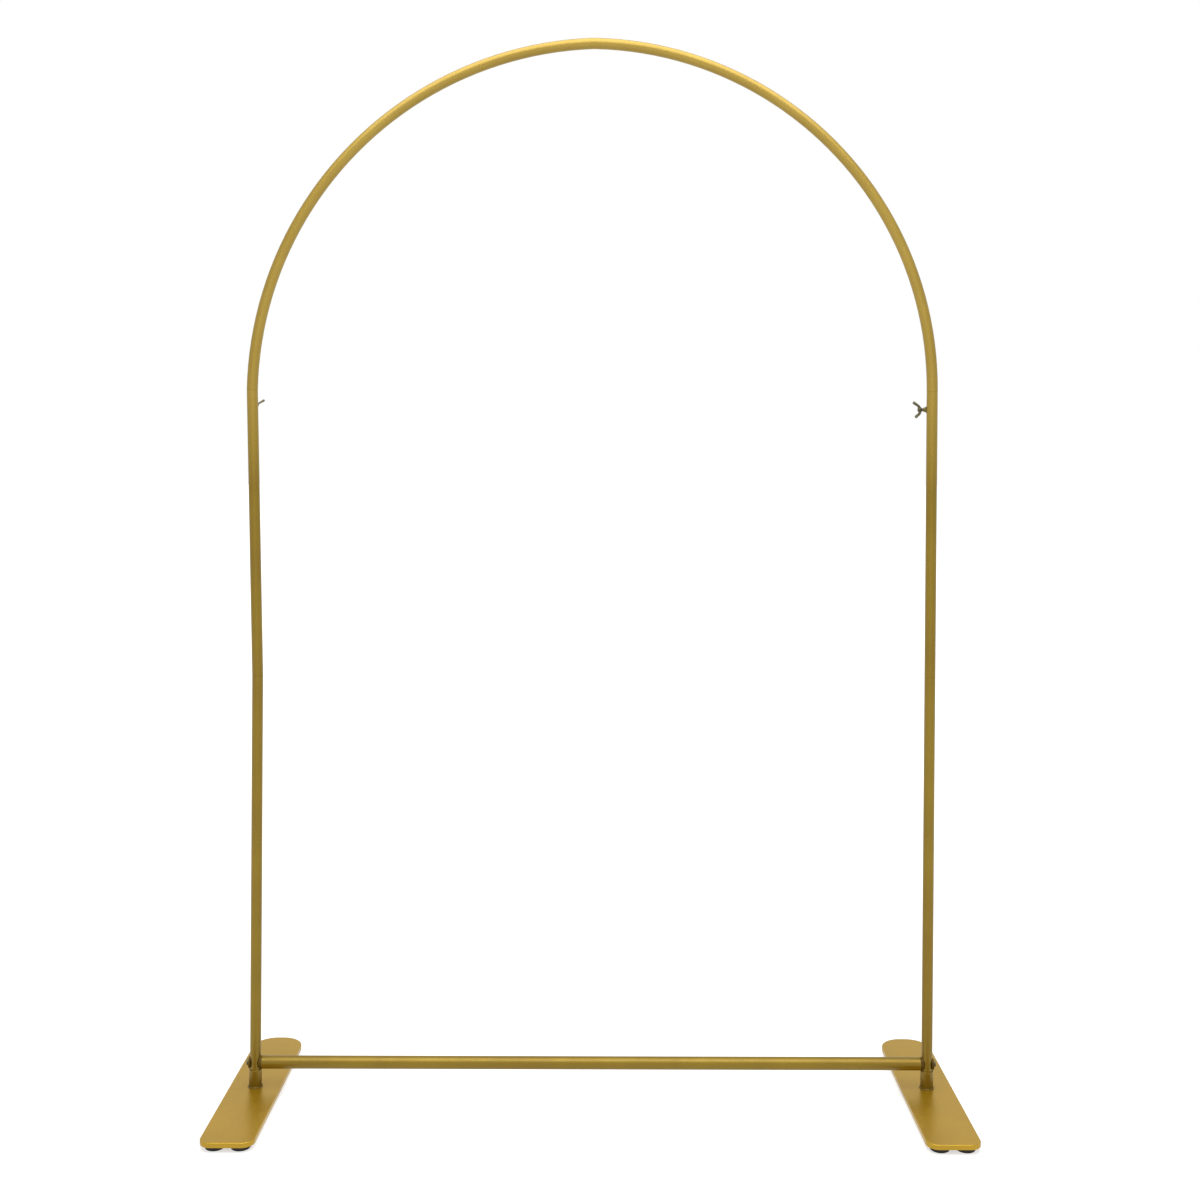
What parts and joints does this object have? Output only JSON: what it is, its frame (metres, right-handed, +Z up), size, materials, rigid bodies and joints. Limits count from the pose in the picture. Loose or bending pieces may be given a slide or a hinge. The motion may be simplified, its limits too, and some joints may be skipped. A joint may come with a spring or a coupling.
{
  "type": "balloon arch stand",
  "caption": "Free-standing round tube arch on two uprights with long flat foot plates, a low bolted crossbar and wing screws that hold the arch to the uprights.",
  "frame": {"origin": "on the floor, midway between the two uprights", "axes": "+Z up, +X to the right across the arch, the front at -Y"},
  "size_m": [1.272, 0.42, 1.8515],
  "materials": {
    "gold_tube": "satin gold paint on steel",
    "gold_plate": "satin gold paint on a flat steel plate",
    "dark_fastener": "dull dark zinc",
    "black_plastic": "moulded black plastic",
    "black_rubber": "moulded black rubber"
  },
  "bodies": {
    "stand": {"arch_left": "gold_tube", "arch_right": "gold_tube", "base_plate_left": "gold_plate", "base_plate_right": "gold_plate", "crossbar": "gold_tube", "crossbar_bolt_left": "dark_fastener", "crossbar_bolt_right": "dark_fastener", "crossbar_plug_left": "black_plastic", "crossbar_plug_right": "black_plastic", "foot_left_front_inner": "black_rubber", "foot_left_front_outer": "black_rubber", "foot_left_rear_inner": "black_rubber", "foot_left_rear_outer": "black_rubber", "foot_right_front_inner": "black_rubber", "foot_right_front_outer": "black_rubber", "foot_right_rear_inner": "black_rubber", "foot_right_rear_outer": "black_rubber", "lower_upright_left": "gold_tube", "lower_upright_right": "gold_tube", "outer_saddle_left": "black_plastic", "outer_saddle_right": "black_plastic", "post_socket_left": "gold_tube", "post_socket_right": "gold_tube", "screw_boss_left": "gold_tube", "screw_boss_right": "gold_tube", "upper_upright_left": "gold_tube", "upper_upright_right": "gold_tube"},
    "wing_screw_left": {"wing_screw_left": "dark_fastener"},
    "wing_screw_right": {"wing_screw_right": "dark_fastener"}
  },
  "joints": [
    {"name": "wing_screw_left_turn", "type": "hinge", "parent": "stand", "child": "wing_screw_left", "pos_m": [-0.59179, 0.01498, 1.21452], "axis": [0.0523, 0.9986, 0.0008], "range_deg": [0, 360]},
    {"name": "wing_screw_right_turn", "type": "hinge", "parent": "stand", "child": "wing_screw_right", "pos_m": [0.57842, 0.00817, 1.21], "axis": [-0.8387, 0.5446, 0], "range_deg": [0, 360]}
  ]
}
